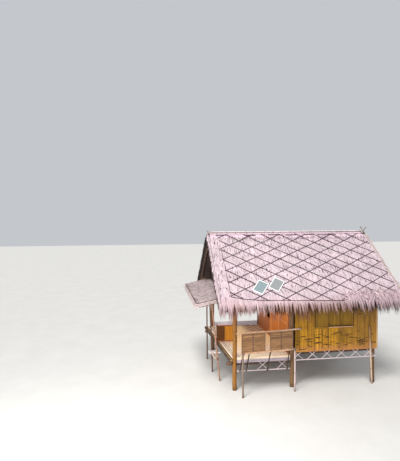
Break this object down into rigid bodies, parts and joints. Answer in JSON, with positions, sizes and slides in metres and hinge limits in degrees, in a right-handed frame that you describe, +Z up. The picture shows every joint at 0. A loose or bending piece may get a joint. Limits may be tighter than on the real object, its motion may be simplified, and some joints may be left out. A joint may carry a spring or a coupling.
{
  "type": "bamboo stilt house",
  "caption": "Thatched bamboo hut on stilts with a closed woven-wall room, an open railed veranda and a double door between them.",
  "frame": {"origin": "on the ground where the left and the front post line cross, on the foot of the front left corner post", "axes": "+X along the ridge from the veranda to the room, +Y from the front to the back, +Z up"},
  "size_m": [5.8, 4.7586, 4.4494],
  "materials": {
    "post_bamboo": "satin",
    "pale_pole": "satin",
    "dark_pole": "satin",
    "floor_bamboo": "satin",
    "pale_board": "matte",
    "grey_board": "matte",
    "thatch": "matte",
    "thatch_fringe": "matte",
    "ridge_thatch": "matte",
    "trim_pole": "satin",
    "lattice_strip": "matte",
    "gable_panel": "matte",
    "side_pole": "satin",
    "woven_wall": "satin",
    "inner_wall": "satin",
    "window_frame": "satin",
    "shutter": "satin",
    "door_frame": "satin",
    "door_leaf": "satin",
    "rail_pole": "satin",
    "railing_panel": "matte",
    "red_pole": "satin",
    "solar_panel": "gloss"
  },
  "bodies": {
    "house": {"posts": "post_bamboo", "railing_props": "pale_pole", "leaning_prop": "pale_pole", "floor_beams": "dark_pole", "floor_joists": "dark_pole", "veranda_floor": "floor_bamboo", "room_floor": "floor_bamboo", "veranda_fascia": "pale_board", "veranda_kerb": "grey_board", "plates": "dark_pole", "rafters": "dark_pole", "ridge_pole": "dark_pole", "front_thatch": "thatch", "back_thatch": "thatch", "front_fringe": "thatch_fringe", "back_fringe": "thatch_fringe", "ridge_cap": "ridge_thatch", "ridge_trim_poles": "trim_pole", "gable_poles": "trim_pole", "front_lattice": "lattice_strip", "back_lattice": "lattice_strip", "gables": "gable_panel", "pent_thatch": "thatch", "pent_poles": "dark_pole", "side_posts": "side_pole", "front_wall": "woven_wall", "back_wall": "woven_wall", "right_wall": "woven_wall", "left_wall_base": "inner_wall", "left_wall_front": "inner_wall", "left_wall_over_door": "inner_wall", "left_wall_back": "inner_wall", "window_frames": "window_frame", "window_shutters": "shutter", "door_frame": "door_frame", "skirts": "pale_pole", "railing_struts": "dark_pole", "railing_rails": "rail_pole", "railing_panels": "railing_panel", "entry_screen": "woven_wall", "entry_screen_poles": "red_pole", "entry_step": "pale_board", "entry_step_bearers": "dark_pole", "solar_panels": "solar_panel"},
    "front_leaf": {"door_leaf_front": "door_leaf"},
    "back_leaf": {"door_leaf_back": "door_leaf"}
  },
  "joints": [
    {"name": "front_leaf_hinge", "type": "hinge", "parent": "house", "child": "front_leaf", "pos_m": [1.7, 0.359, 1.1], "axis": [0, 0, -1], "range_deg": [0, 90]},
    {"name": "back_leaf_hinge", "type": "hinge", "parent": "house", "child": "back_leaf", "pos_m": [1.7, 1.845, 1.1], "axis": [0, 0, 1], "range_deg": [0, 90]}
  ]
}
